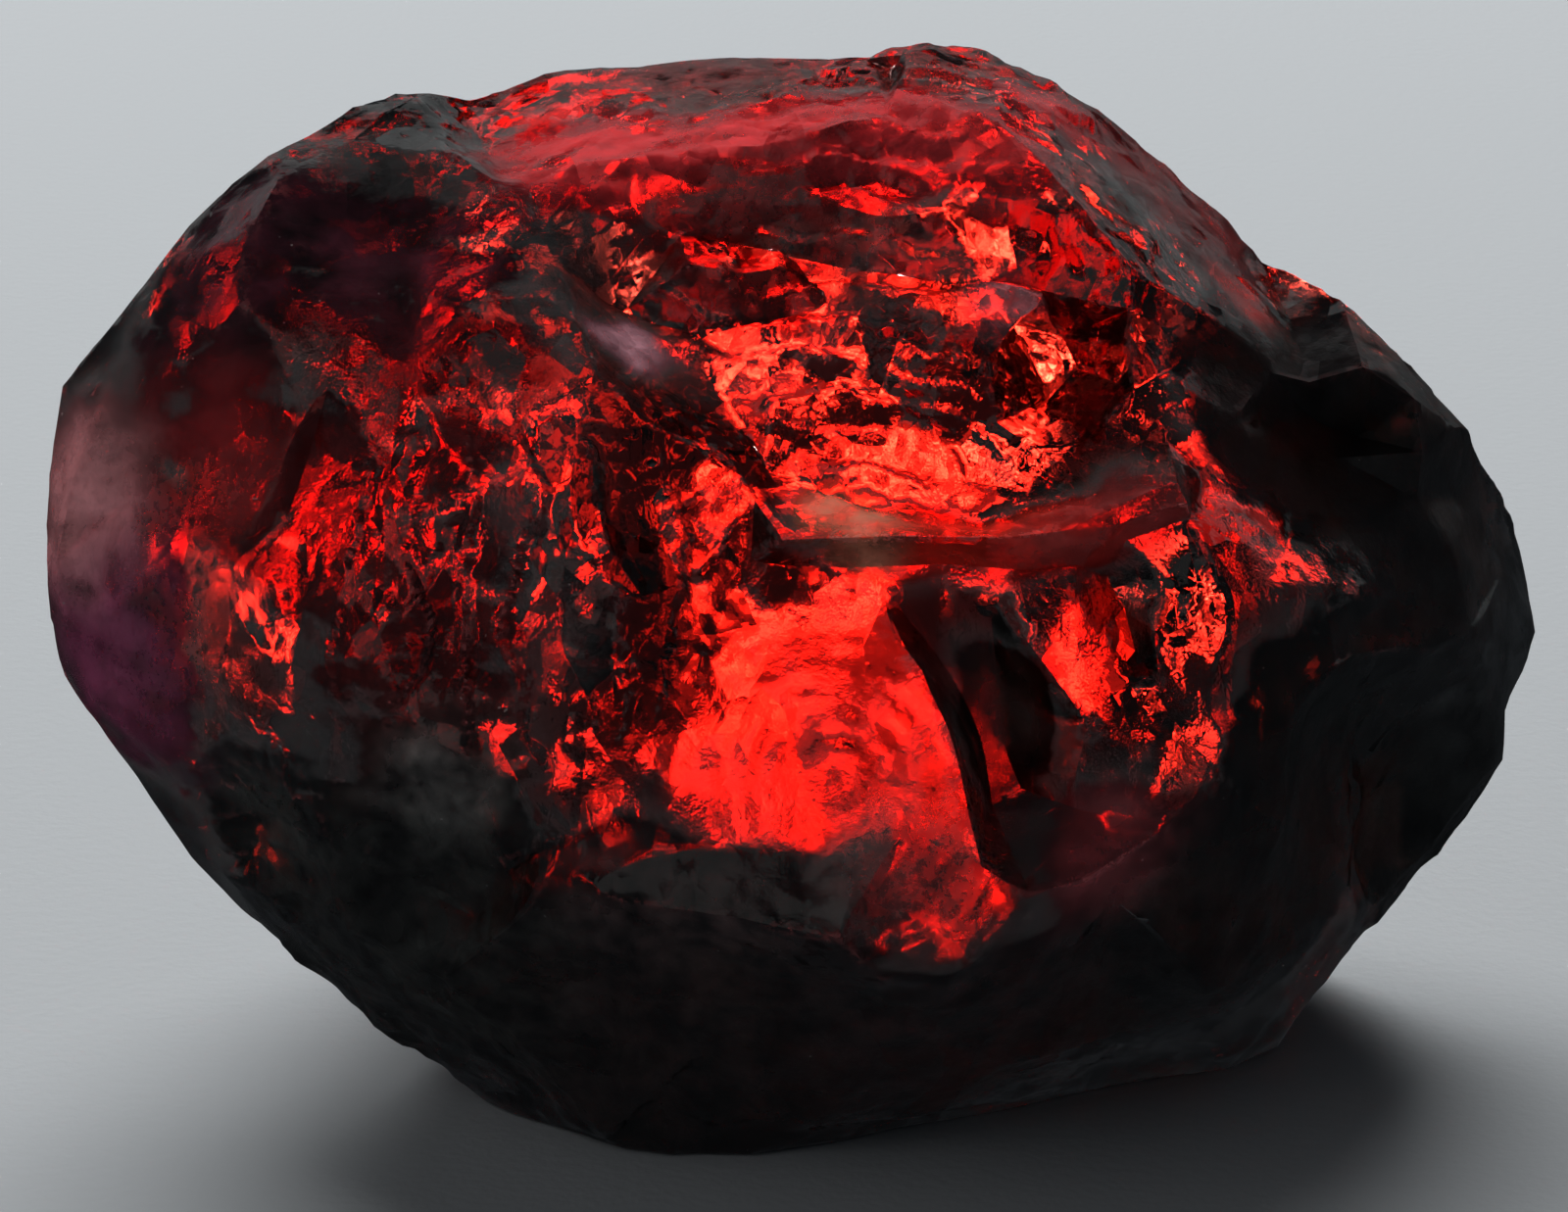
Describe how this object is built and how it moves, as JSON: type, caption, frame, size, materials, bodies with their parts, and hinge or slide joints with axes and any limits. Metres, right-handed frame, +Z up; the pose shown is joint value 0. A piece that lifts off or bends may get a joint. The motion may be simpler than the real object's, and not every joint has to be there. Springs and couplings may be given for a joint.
{
  "type": "rough painite crystal",
  "caption": "Rough deep red gem crystal fragment with a stepped ledge, shell-shaped breaks and a flat rest face.",
  "frame": {"origin": "under the middle of the stone, at the level of the flat face it rests on", "axes": "+Z up, +X along the stone's length, -Y towards the broken side that shows the ledge"},
  "size_m": [0.02, 0.014, 0.0127],
  "materials": {
    "painite": "see-through deep red crystal, glossy on fresh breaks and dull where it is worn"
  },
  "bodies": {
    "root": {"painite_crystal": "painite"}
  },
  "joints": []
}
